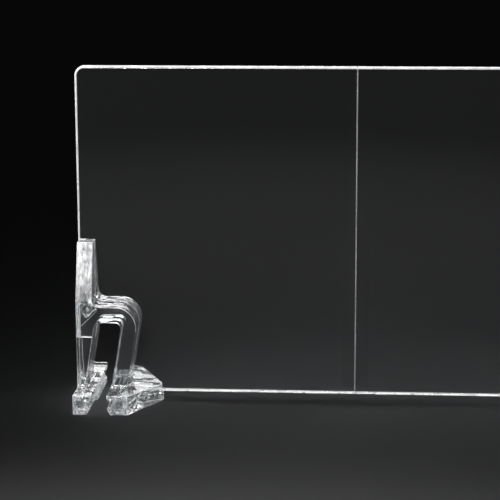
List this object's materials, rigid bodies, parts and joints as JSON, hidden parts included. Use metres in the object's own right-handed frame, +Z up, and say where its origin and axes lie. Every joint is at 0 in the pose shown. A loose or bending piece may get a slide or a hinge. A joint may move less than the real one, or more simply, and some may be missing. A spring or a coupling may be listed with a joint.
{
  "type": "desk privacy panel",
  "caption": "Clear two-leaf desk privacy panel that folds at a film seam, each end clamped in a clear two-leg bracket with a leaning slot and grooved bar feet.",
  "frame": {"origin": "on the desk, under the middle of the fold, at the centre of the footprint", "axes": "+X along the panel to its right end, +Y to the panel's back, +Z up"},
  "size_m": [0.504, 0.104, 0.309],
  "materials": {
    "sheet": "clear cast acrylic, polished round edges",
    "bracket": "clear moulded acrylic, fine texture on the post's front",
    "film": "clear polypropylene film",
    "grip": "translucent silicone",
    "desk_pad": "translucent polyurethane",
    "screw": "clear moulded polycarbonate",
    "cap": "frosted clear polycarbonate"
  },
  "bodies": {
    "left_wing": {"sheet_left": "sheet", "hinge_film_left": "film", "bracket_front_left": "bracket", "bracket_rear_left": "bracket", "grip_pad_left": "grip", "desk_pads_left": "desk_pad", "clamp_screw_left": "screw", "clamp_nut_left": "screw", "tie_screws_left": "screw", "tie_nuts_left": "screw", "end_caps_left": "cap"},
    "right_wing": {"sheet_right": "sheet", "hinge_film_right": "film", "bracket_front_right": "bracket", "bracket_rear_right": "bracket", "grip_pad_right": "grip", "desk_pads_right": "desk_pad", "clamp_screw_right": "screw", "clamp_nut_right": "screw", "tie_screws_right": "screw", "tie_nuts_right": "screw", "end_caps_right": "cap"}
  },
  "joints": [
    {"name": "fold", "type": "hinge", "parent": "left_wing", "child": "right_wing", "pos_m": [0, 0.00325, 0.159], "axis": [0, 0, 1], "range_deg": [0, 150]}
  ]
}
